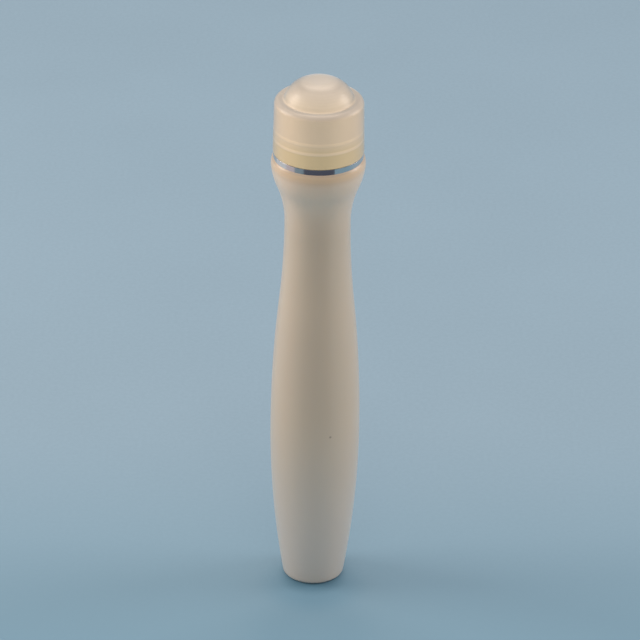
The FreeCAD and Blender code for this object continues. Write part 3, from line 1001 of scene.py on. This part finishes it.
@dataclass
class Bottle:
    """The moulded bottle, from its recessed base up to the neck that takes the ball's housing.

    A point is a radius and a height.

    Attributes:
        gate_radius: Radius of the moulding's gate mark, in the middle of the recess.
        slope: How far the steps in the base lean.
        side_foot: Height where the side's curve starts, over the rounding of the base.
        rim: Where the side would swell to without the rounding of the shoulder.
        shoulder_flat: Radius at which the rounding ends under the ring.
        shoulder_drop: Height of the rounding.
        belly_share: Share of the run from belly to waist that the bulging arc takes.
        swell_share: The same from the rim down to the waist.
        gaps: Height left free at the belly, waist, shoulder and inside between two stretches.
        steps: Number of sampled lengths under the belly, to the waist, to the rim and inside.
    """

    finish: Finish
    wall: float = 1.2 * MM
    recess_radius: float = 4.2 * MM
    recess_depth: float = 0.5 * MM
    recess_edge: float = 0.1 * MM
    gate_radius: float = 0.7 * MM
    gate_height: float = 0.25 * MM
    slope: float = 0.2 * MM
    floor: float = 1.6 * MM
    floor_edge: float = 0.4 * MM
    base: Point = (6.46 * MM, 0.0)
    base_edge: float = 1.0 * MM
    side_foot: float = 1.2 * MM
    belly: Point = (9.57 * MM, 36.6 * MM)
    waist: Point = (6.97 * MM, 86.1 * MM)
    rim: Point = (10.0 * MM, 100.8 * MM)
    shoulder_flat: float = 9.5 * MM
    shoulder_drop: float = 1.8 * MM
    ceiling: float = 99.6 * MM
    collar: Point = (COLLAR_RADIUS, 106.0 * MM)
    collar_edge: float = 0.3 * MM
    neck: Point = (7.6 * MM, NECK_TOP)
    neck_edge: float = 0.15 * MM
    bore_radius: float = 6.4 * MM
    bead: Point = (8.02 * MM, 108.35 * MM)
    bead_half: float = 0.6 * MM
    belly_share: float = 0.62
    swell_share: float = 0.42
    gaps: tuple[float, ...] = (1.0 * MM, 0.6 * MM, 0.4 * MM, 0.5 * MM)
    steps: tuple[int, ...] = (28, 40, 26, 60)

    def _ogee(self, height: float, full: Point, lean: Point, share: float) -> float:
        """Radius on a pair of arcs that run smoothly from a full place to a lean one.

        Args:
            height: Height to measure at.
            full: Radius and height where the side bulges most.
            lean: Radius and height where it is narrowest.
            share: Share of the run that the bulging arc takes.

        Returns:
            The radius.
        """
        run = abs(full[1] - lean[1])
        both = crown(run, full[0] - lean[0])
        away = abs(height - full[1])
        if away < share * run:
            return full[0] - sag(share * both, away)
        return lean[0] + sag((1 - share) * both, run - away)

    def side_at(self, height: float) -> float:
        """Radius of the body's side.

        Args:
            height: Height to measure at.

        Returns:
            The radius.
        """
        if height < self.belly[1]:
            curve = crown(self.belly[1], self.belly[0] - self.base[0])
            return self.belly[0] - sag(curve, self.belly[1] - height)
        if height < self.waist[1]:
            return self._ogee(height, self.belly, self.waist, self.belly_share)
        return self._ogee(height, self.rim, self.waist, self.swell_share)

    def outline(self) -> Outline:
        """The outline: under the base, up the side, over the neck, and down the inside.

        Returns:
            The outline, from the axis under the base to the axis over the floor.
        """
        drawn = Outline()
        edge, slope = self.recess_edge, self.slope
        gate_foot = self.recess_depth - self.gate_height
        drawn.corner(0.0, gate_foot).corner(self.gate_radius, gate_foot, edge)
        drawn.corner(self.gate_radius + slope / 4, self.recess_depth, edge)
        drawn.corner(self.recess_radius - slope, self.recess_depth, 2 * edge)
        drawn.corner(self.recess_radius, 0.0, edge)
        drawn.corner(*self.base, self.base_edge)
        lower, upper, swell, hollow = self.steps
        belly_gap, waist_gap, shoulder_gap, inner_gap = self.gaps
        drawn.side(self.side_at, self.side_foot, self.belly[1], lower)
        drawn.side(self.side_at, self.belly[1] + belly_gap, self.waist[1], upper)
        foot = SHOULDER - self.shoulder_drop
        bulge = self.side_at(foot) - self.shoulder_flat
        drawn.side(self.side_at, self.waist[1] + waist_gap, foot - shoulder_gap, swell)
        drawn.arc((self.shoulder_flat, foot), bulge, 0, 90, self.shoulder_drop / bulge)
        drawn.corner(self.collar[0], SHOULDER)
        drawn.corner(*self.collar, self.collar_edge)
        drawn.corner(self.neck[0], self.collar[1], edge)
        drawn.bead(self.neck[0], *self.bead, self.bead_half)
        drawn.corner(*self.neck, self.neck_edge)
        drawn.corner(self.bore_radius, self.neck[1], self.neck_edge)
        drawn.corner(self.bore_radius, self.ceiling, self.wall / 4)
        drawn.corner(self.side_at(self.ceiling) - self.wall, self.ceiling)
        drawn.side(lambda height: self.side_at(height) - self.wall,
                   self.ceiling - inner_gap, self.floor + inner_gap, hollow)
        drawn.corner(self.side_at(self.floor) - self.wall - self.floor_edge, self.floor)
        return drawn.corner(0.0, self.floor)

    def build(self, lathe: Lathe) -> bpy.types.Object:
        """Turns the bottle.

        Args:
            lathe: The tree that turns an outline.

        Returns:
            The bottle.
        """
        points = self.outline().points(Wrap.TO_AXIS)
        piece = lathe.turn("moulded_bottle", points, self.finish.material())
        return seat(piece, "bottle", "bottle", "bottle")


@dataclass
class NeckRing:
    """The thin plated ring that sits on the bottle's shoulder."""

    finish: Finish
    inside: float = COLLAR_RADIUS + 0.05 * MM
    outside: float = 9.52 * MM
    foot: float = SHOULDER
    top: float = RING_TOP
    edge: float = 0.02 * MM

    def build(self, lathe: Lathe) -> bpy.types.Object:
        """Turns the ring.

        Args:
            lathe: The tree that turns an outline.

        Returns:
            The ring.
        """
        drawn = Outline()
        drawn.corner(self.outside, self.foot, self.edge).corner(self.outside, self.top, self.edge)
        drawn.corner(self.inside, self.top, self.edge / 2)
        drawn.corner(self.inside, self.foot, self.edge / 2)
        piece = lathe.turn("plated_ring", drawn.points(Wrap.LOOP), self.finish.material())
        return seat(piece, "neck_ring", "bottle", "neck_ring")


@dataclass
class BallHousing:
    """The plug that snaps into the neck, and the grooved socket that holds the ball.

    Attributes:
        skirt_foot: Height of the skirt's lower end, inside the neck.
        bead_crest: Radius of the crests of the sealing beads.
        bead_middles: Heights of the beads.
        seat_radius: Radius of the round hollow that holds the ball.
        socket_radius: Radius of the socket's outside.
        lip: Radius and height of the lip's corner, before its rounding.
        feed_radius: Radius of the hole under the ball.
        groove_drop: How far under the ball's middle the grooves end.
    """

    finish: Finish
    skirt_foot: float = 102.3 * MM
    skirt_inside: float = 5.3 * MM
    skirt_outside: float = 6.15 * MM
    bead_crest: float = 6.37 * MM
    bead_half: float = 0.4 * MM
    bead_middles: tuple[float, ...] = (105.5 * MM, 107.7 * MM)
    flange_radius: float = 7.9 * MM
    seat_radius: float = BALL_RADIUS + 0.07 * MM
    socket_radius: float = BALL_RADIUS + 0.87 * MM
    lip: Point = (5.57 * MM, 113.6 * MM)
    feed_radius: float = 1.8 * MM
    edge: float = 0.2 * MM
    grooves: int = 6
    groove_width: float = 0.8 * MM
    groove_radius: float = 5.52 * MM
    groove_drop: float = 0.6 * MM

    def outline(self) -> Outline:
        """The outline: up the plug's outside, over the lip, down the seat, and up its underside.

        Returns:
            The outline, as a loop.
        """
        drawn = Outline()
        middle = (0.0, BALL_MIDDLE)
        drawn.corner(self.skirt_inside, self.skirt_foot, self.edge / 2)
        drawn.corner(self.skirt_outside, self.skirt_foot, 1.5 * self.edge)
        for height in self.bead_middles:
            drawn.bead(self.skirt_outside, self.bead_crest, height, self.bead_half)
        drawn.corner(self.skirt_outside, NECK_TOP)
        drawn.corner(self.flange_radius, NECK_TOP, self.edge / 2)
        drawn.corner(self.flange_radius, FLANGE_TOP, self.edge)
        drawn.corner(self.socket_radius, FLANGE_TOP, self.edge)
        drawn.corner(self.socket_radius, BALL_MIDDLE)
        drawn.corner(*self.lip, self.edge)
        mouth = math.degrees(math.asin((self.lip[1] - BALL_MIDDLE) / self.seat_radius))
        feed = -math.degrees(math.acos(self.feed_radius / self.seat_radius))
        drawn.arc(middle, self.seat_radius, mouth, feed)
        under = -math.degrees(math.acos(self.feed_radius / self.socket_radius))
        side = -math.degrees(math.acos(self.skirt_inside / self.socket_radius))
        return drawn.arc(middle, self.socket_radius, under, side)

    def build(self, lathe: Lathe, cutter: GrooveCutter) -> bpy.types.Object:
        """Turns the housing and cuts its feed grooves.

        Args:
            lathe: The tree that turns an outline.
            cutter: The tree that cuts the grooves.

        Returns:
            The housing.
        """
        finish = self.finish.material()
        piece = lathe.turn("ball_socket", self.outline().points(Wrap.LOOP), finish)
        cutter.apply(piece, {
            "Grooves": self.grooves, "Width": self.groove_width, "Radius": self.groove_radius,
            "Middle": BALL_MIDDLE, "Drop": self.groove_drop, "Finish": finish})
        return seat(piece, "ball_housing", "bottle", "ball_housing")


@dataclass
class RollerBall:
    """The ball that rolls in the socket."""

    finish: Finish

    def build(self, lathe: Lathe) -> bpy.types.Object:
        """Turns the ball.

        Args:
            lathe: The tree that turns an outline.

        Returns:
            The ball.
        """
        drawn = Outline().arc((0.0, BALL_MIDDLE), BALL_RADIUS, -90, 90)
        piece = lathe.turn("polished_ball", drawn.points(Wrap.TO_AXIS), self.finish.material())
        return seat(piece, "roller_ball", "ball", "roller_ball")


@dataclass
class Cap:
    """The frosted push-on cap, with its dome, and inside it a snap bead and a sealing ring.

    Attributes:
        ledge: Radius and height of the flat ledge's rim, before its rounding.
        fillet_angle: Degrees of the dome's arc that the fillet at its foot takes up.
        seal_foot: Height of the sealing ring's foot, just clear of the housing's flange.
        ceiling: Height of the hollow's flat top, round the hollow of the dome.
        step: Height where the wide mouth that takes the collar ends.
    """

    finish: Finish
    foot: Point = (9.57 * MM, RING_TOP + 0.1 * MM)
    foot_edge: float = 0.05 * MM
    ledge: Point = (9.37 * MM, 114.4 * MM)
    ledge_edge: float = 1.15 * MM
    dome_radius: float = 7.4 * MM
    dome_fillet: float = 0.5 * MM
    fillet_angle: float = 10.0
    flat_radius: float = 1.8 * MM
    top: float = 118.6 * MM
    inner_dome_radius: float = 6.5 * MM
    inner_top: float = 117.7 * MM
    ceiling: float = 113.5 * MM
    ceiling_edge: float = 0.4 * MM
    seal_inside: float = 6.7 * MM
    seal_outside: float = 7.3 * MM
    seal_foot: float = FLANGE_TOP + 0.12 * MM
    inner_edge: float = 0.1 * MM
    bore_radius: float = 8.45 * MM
    bead: Point = (8.07 * MM, 107.35 * MM)
    bead_half: float = 0.5 * MM
    step: float = 106.3 * MM
    mouth_radius: float = COLLAR_RADIUS + 0.08 * MM

    def outline(self) -> Outline:
        """The outline: from the hollow's top down the inside, round the mouth, and up outside.

        Returns:
            The outline, from the axis inside the dome to the axis on top of it.
        """
        drawn = Outline()
        edge = self.inner_edge
        run = self.inner_dome_radius - self.flat_radius
        curve = crown(run, self.inner_top - self.ceiling)
        middle = (self.flat_radius, self.inner_top - curve)
        foot_angle = math.degrees(math.asin((self.ceiling - middle[1]) / curve))
        drawn.corner(0.0, self.inner_top).arc(middle, curve, 90, foot_angle)
        drawn.corner(self.seal_inside, self.ceiling, 0.8 * edge)
        drawn.corner(self.seal_inside, self.seal_foot, edge)
        drawn.corner(self.seal_outside, self.seal_foot, edge)
        drawn.corner(self.seal_outside, self.ceiling, 1.5 * edge)
        drawn.corner(self.bore_radius, self.ceiling, self.ceiling_edge)
        drawn.bead(self.bore_radius, *self.bead, -self.bead_half)
        drawn.corner(self.bore_radius, self.step, edge)
        drawn.corner(self.mouth_radius, self.step, edge)
        drawn.corner(self.mouth_radius, self.foot[1], edge)
        drawn.corner(*self.foot, self.foot_edge)
        drawn.corner(*self.ledge, self.ledge_edge)
        drawn.corner(self.dome_radius, self.ledge[1], self.dome_fillet)
        curve = crown(self.dome_radius - self.flat_radius, self.top - self.ledge[1])
        middle = (self.flat_radius, self.top - curve)
        foot_angle = math.degrees(math.asin((self.ledge[1] - middle[1]) / curve))
        drawn.arc(middle, curve, foot_angle + self.fillet_angle, 90)
        return drawn.corner(0.0, self.top)

    def build(self, lathe: Lathe) -> bpy.types.Object:
        """Turns the cap.

        Args:
            lathe: The tree that turns an outline.

        Returns:
            The cap.
        """
        piece = lathe.turn("frosted_cap", self.outline().points(Wrap.TO_AXIS),
                           self.finish.material())
        return seat(piece, "cap", "cap", "cap")


# Studio


def aimed(place: Place, aim: Place, roll: float = 0.0) -> Matrix:
    """Place and turn of a lamp or camera.

    Args:
        place: Where it stands.
        aim: The point that it looks at.
        roll: Turn about its own line of sight, in degrees.

    Returns:
        Its world matrix.
    """
    sight = (Vector(aim) - Vector(place)).to_track_quat("-Z", "Y").to_matrix().to_4x4()
    return Matrix.Translation(place) @ sight @ Matrix.Rotation(math.radians(roll), 4, "Z")


@dataclass(frozen=True)
class SoftBox:
    """A studio lamp behind an oblong diffuser.

    Attributes:
        aim: The point that it faces.
        mirrored: Whether it shows in reflections.
    """

    name: str
    place: Place
    aim: Place
    width: float
    height: float
    power: float
    colour: Colour = (1.0, 1.0, 1.0)
    mirrored: bool = True

    def hang(self) -> None:
        """Adds the lamp to the scene."""
        lamp = bpy.data.lights.new(self.name, "AREA")
        lamp.shape = "RECTANGLE"
        lamp.size = self.width
        lamp.size_y = self.height
        lamp.energy = self.power
        lamp.color = self.colour
        hung = bpy.data.objects.new(self.name, lamp)
        hung.matrix_world = aimed(self.place, self.aim)
        hung.visible_glossy = self.mirrored
        bpy.context.scene.collection.objects.link(hung)


@dataclass(frozen=True)
class FloorPaper(Finish):
    """Pale blue background paper with a faint fibre, and a painted darkening towards the front where
    the light falls off.

    Attributes:
        front: Places along Y between which the paper turns to the painted darker colour of the front,
            where the light falls off.
        fibre_share: Share of the fibre in the paper's unevenness. The rest is slow clouds.
        shadows: Painted soft shadows about the foot: place along Y, radius, strength and colour.
    """

    front: Span = (0.08, -0.06)
    # painted falloff of the light towards the front
    front_falloff_colour: Colour = srgb(117, 153, 177)
    fibre_share: float = 0.6
    # painted contact shadows about the foot
    shadows: tuple[tuple[float, float, float, Colour], ...] = (
        (-26 * MM, 19 * MM, 0.10, srgb(70, 125, 156)), (-6.5 * MM, 14 * MM, 0.19, srgb(48, 125, 163)),
        (-3.5 * MM, 8.2 * MM, 0.42, srgb(8, 82, 108)))

    def surface(self, recipe: SurfaceRecipe) -> dict[str, Value]:
        """Paper colour with a fine speckle and slow clouds, a painted falloff towards the front and a
        painted shadow about the foot.

        Args:
            recipe: Builder of the material's tree.

        Returns:
            Values and wires by the socket's name.
        """
        fibre = recipe.clouds(0.9 * MM, 3.0) * self.fibre_share
        clouds = recipe.clouds(60 * MM) * (1 - self.fibre_share)
        tone = recipe.blend(fibre + clouds, shade(self.colour, 0.97), shade(self.colour, 1.03))
        # painted falloff of the light towards the front
        front = recipe.along("Y").above(*self.front)
        tone = recipe.blend(front, tone, shade(self.front_falloff_colour))
        # painted shadows about the foot
        for depth, radius, share, colour in self.shadows:
            under = recipe.spot((0.0, depth, 0.0), radius) * share
            tone = recipe.blend(under, tone, shade(colour))
        return {
            "Base Color": tone,
            "Roughness": self.roughness,
            "Specular IOR Level": 0.0,
            "Normal": recipe.bump(recipe.noise(0.7 * MM, 3.0), 0.02 * MM, 0.5),
        }


@dataclass(frozen=True)
class StudioCloth(Finish):
    """Studio cloth before the object, seen only in its reflections: dark, with paler panels.

    Attributes:
        panels: Where each panel starts, in degrees from the front to the left, with its colour.
    """

    panels: tuple[tuple[float, float, Colour], ...] = (
        (34, 39, srgb(108, 134, 152)), (60, 62, srgb(162, 166, 180)), (82, 92, srgb(168, 186, 201)))

    def surface(self, recipe: SurfaceRecipe) -> dict[str, Value]:
        """Dark slate with a faint weave, and paler by steps towards the left.

        Args:
            recipe: Builder of the material's tree.

        Returns:
            Values and wires by the socket's name.
        """
        weave = recipe.noise(4 * MM)
        tone = recipe.blend(weave, shade(self.colour, 0.8), shade(self.colour, 1.1))
        angle = (recipe.along("X") * -1).angle_to(recipe.along("Y") * -1)
        for start, end, colour in self.panels:
            panel = angle.above(math.radians(start), math.radians(end))
            tone = recipe.blend(panel, tone, shade(colour))
        return {
            "Base Color": tone,
            "Roughness": self.roughness,
            "Specular IOR Level": 0.1,
        }


@dataclass
class Studio:
    """Floor, lamps and surroundings.

    Attributes:
        sky: Colour that shows past the floor.
        ambient: Colour of the light from all around.
        cloth_reach: Inner and outer radius of the cloth.
        cloth_angles: Its first and last angle in degrees, from the front and towards +X.
        cloth_lift: Its height over the paper.
        arc_steps: Number of straight edges along an arc.
    """

    floor_finish: Finish
    cloth_finish: Finish
    lamps: Sequence[SoftBox]
    sky: Colour
    ambient: Colour
    floor_radius: float = 3.0
    cloth_reach: Span = (0.08, 0.6)
    cloth_angles: Span = (-130.0, 41.0)
    cloth_lift: float = 0.3 * MM
    arc_steps: int = 96

    def _sector(self, name: str, finish: Finish, radii: Span, angles: Span,
                height: float) -> bpy.types.Object:
        """A flat ring sector on the floor.

        Args:
            name: Its name.
            finish: Its finish.
            radii: Inner and outer radius.
            angles: First and last angle in degrees, from the front and towards +X.
            height: Its height.

        Returns:
            The sector.
        """
        verts: list[Place] = []
        for index in range(self.arc_steps + 1):
            angle = math.radians(angles[0] + (angles[1] - angles[0]) * index / self.arc_steps - 90)
            verts.extend((radius * math.cos(angle), radius * math.sin(angle), height)
                         for radius in radii)
        faces = [(2 * i, 2 * i + 1, 2 * i + 3, 2 * i + 2) for i in range(self.arc_steps)]
        mesh = bpy.data.meshes.new(name)
        mesh.from_pydata(verts, [], faces)
        mesh.materials.append(finish.material())
        laid = bpy.data.objects.new(name, mesh)
        bpy.context.scene.collection.objects.link(laid)
        return laid

    def _surround(self) -> None:
        """Sets the world: plain and dim for the object, and the paper's colour where it shows."""
        world = bpy.data.worlds.new("studio")
        world.use_nodes = True
        world.node_tree.nodes.clear()
        recipe = SurfaceRecipe(world.node_tree)
        seen = (recipe.node("ShaderNodeLightPath", {}, {}, "Is Camera Ray")
                + recipe.node("ShaderNodeLightPath", {}, {}, "Is Transmission Ray"))
        colour = recipe.blend(seen, shade(self.ambient), shade(self.sky))
        light = recipe.node("ShaderNodeBackground", {}, {"Color": colour, "Strength": 1.0})
        recipe.add("ShaderNodeOutputWorld", {}, {"Surface": light})
        bpy.context.scene.world = world

    def build(self) -> None:
        """Lays the floor and the cloth, hangs the lamps and sets the surroundings."""
        self._sector("floor_paper", self.floor_finish, (0.0, self.floor_radius), (0.0, 360.0), 0.0)
        cloth = self._sector("front_cloth", self.cloth_finish, self.cloth_reach,
                             self.cloth_angles, self.cloth_lift)
        for kind_of_ray in ("camera", "diffuse", "shadow", "transmission"):
            setattr(cloth, "visible_" + kind_of_ray, False)
        for lamp in self.lamps:
            lamp.hang()
        self._surround()


@dataclass
class ProductCamera:
    """The camera, at the photograph's angle."""

    place: Place = (0.0, -0.8773, 0.5379)
    aim: Place = (0.0008, 0.0, 0.0621)
    lens: float = 263.87
    sensor: float = 36.0
    roll: float = 0.79

    def build(self) -> None:
        """Adds the camera and makes it the scene's."""
        held = bpy.data.cameras.new("product_camera")
        held.sensor_width = self.sensor
        held.lens = self.lens
        held.clip_start = 0.01
        camera = bpy.data.objects.new("product_camera", held)
        camera.matrix_world = aimed(self.place, self.aim, self.roll)
        bpy.context.scene.collection.objects.link(camera)
        bpy.context.scene.camera = camera


LAMPS = (
    SoftBox("left_softbox", place=(-0.62, 0.10, 0.32), aim=(0.0, 0.0, 0.06),
            width=0.35, height=0.5, power=2.85, colour=(1.0, 0.84, 0.72)),
    SoftBox("right_softbox", place=(0.70, 0.15, 0.29), aim=(0.0, 0.0, 0.06),
            width=0.35, height=0.5, power=2.5, colour=(1.0, 0.86, 0.77)),
    SoftBox("top_softbox", place=(0.0, 0.35, 0.75), aim=(0.0, 0.0, 0.05),
            width=0.6, height=0.4, power=1.4, colour=(1.0, 0.9, 0.83)),
    SoftBox("front_softbox", place=(0.0, -0.6, 0.75), aim=(0.0, 0.0, 0.1),
            width=0.5, height=0.4, power=0.9, colour=(1.0, 0.82, 0.65), mirrored=False),
)


def main() -> None:
    """Builds the bottle's pieces and the studio, in order."""
    logging.basicConfig(level=logging.INFO, format="%(name)s: %(message)s")
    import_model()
    bpy.context.scene.view_settings.view_transform = "Standard"
    ProductCamera().build()
    Studio(
        FloorPaper("floor_paper", srgb(137, 164, 185), 0.9),
        StudioCloth("front_cloth", srgb(69, 80, 99), 0.9),
        LAMPS, srgb(152, 175, 188), srgb(217, 207, 199)).build()
    lathe = Lathe()
    Bottle(SatinPlastic("cream_satin_plastic", (0.58, 0.495, 0.385), 0.4)).build(lathe)
    NeckRing(Plating("bright_plating", (0.8, 0.76, 0.75), 0.08)).build(lathe)
    BallHousing(NaturalPlastic("natural_plastic", srgb(232, 228, 218), 0.4)).build(
        lathe, GrooveCutter())
    RollerBall(PolishedPlastic("white_polished_plastic", srgb(240, 238, 232), 0.1)).build(lathe)
    Cap(MilkyPlastic("milky_frosted_plastic", (0.92, 0.74, 0.53), 0.4)).build(lathe)


if __name__ == "__main__":
    main()
